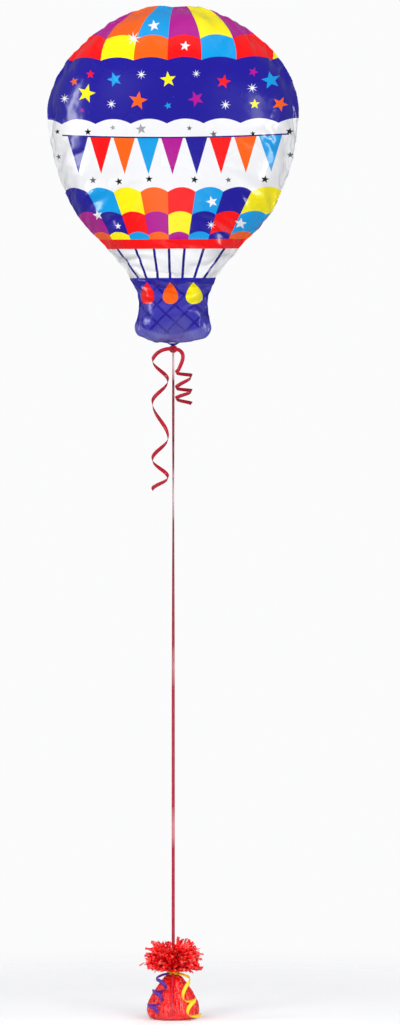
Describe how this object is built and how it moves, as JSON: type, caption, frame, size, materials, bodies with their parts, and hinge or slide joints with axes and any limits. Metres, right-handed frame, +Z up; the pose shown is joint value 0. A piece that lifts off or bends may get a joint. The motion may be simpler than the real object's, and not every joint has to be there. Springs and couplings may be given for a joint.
{
  "type": "foil party balloon shaped like a hot air balloon, on a ribbon and weight",
  "caption": "Printed foil balloon in the outline of a hot air balloon and basket, on a flat ribbon with curled tails and a tinsel-wrapped weight.",
  "frame": {"origin": "the centre of lift of the bulb, in the plane of the seam, where the gas holds the balloon up", "axes": "+Z up along the ribbon, +X to the right as seen from the printed front, +Y from the front film to the back film"},
  "size_m": [0.4876, 0.281, 1.9716],
  "materials": {
    "foil_print": "glossy printed foil film",
    "ribbon_crimson": "satin curling ribbon",
    "ribbon_purple": "satin curling ribbon",
    "ribbon_yellow": "satin curling ribbon",
    "tinsel_red": "shiny shredded foil",
    "weight_core": "plain, hidden"
  },
  "bodies": {
    "balloon": {"foil_front": "foil_print", "foil_back": "foil_print", "filling_neck": "foil_print", "neck_wrap": "ribbon_crimson"},
    "knot": {"tie_knot": "ribbon_crimson"},
    "ribbon": {"ribbon_line": "ribbon_crimson", "lead_left": "ribbon_crimson", "lead_right": "ribbon_crimson", "curl_left": "ribbon_crimson", "curl_right": "ribbon_crimson"},
    "weight_knot": {"weight_knot": "ribbon_crimson"},
    "weight": {"wrapper_burst": "tinsel_red", "wrapper_skirt": "tinsel_red", "weight_block": "weight_core", "waist_tie": "ribbon_yellow", "waist_lead_purple": "ribbon_purple", "waist_lead_yellow": "ribbon_yellow", "waist_curl_purple": "ribbon_purple", "waist_curl_yellow": "ribbon_yellow", "waist_tail": "ribbon_crimson"}
  },
  "joints": [
    {"name": "ribbon_pitch", "type": "hinge", "parent": "balloon", "child": "knot", "pos_m": [0, 0, -0.4555], "axis": [1, 0, 0], "range_deg": [-25, 25]},
    {"name": "ribbon_sway", "type": "hinge", "parent": "knot", "child": "ribbon", "pos_m": [0, 0, -0.4555], "axis": [0, 1, 0], "range_deg": [-25, 25]},
    {"name": "weight_pitch", "type": "hinge", "parent": "ribbon", "child": "weight_knot", "pos_m": [0, 0, -1.669], "axis": [1, 0, 0], "range_deg": [-20, 20]},
    {"name": "weight_sway", "type": "hinge", "parent": "weight_knot", "child": "weight", "pos_m": [0, 0, -1.669], "axis": [0, 1, 0], "range_deg": [-20, 20]}
  ]
}
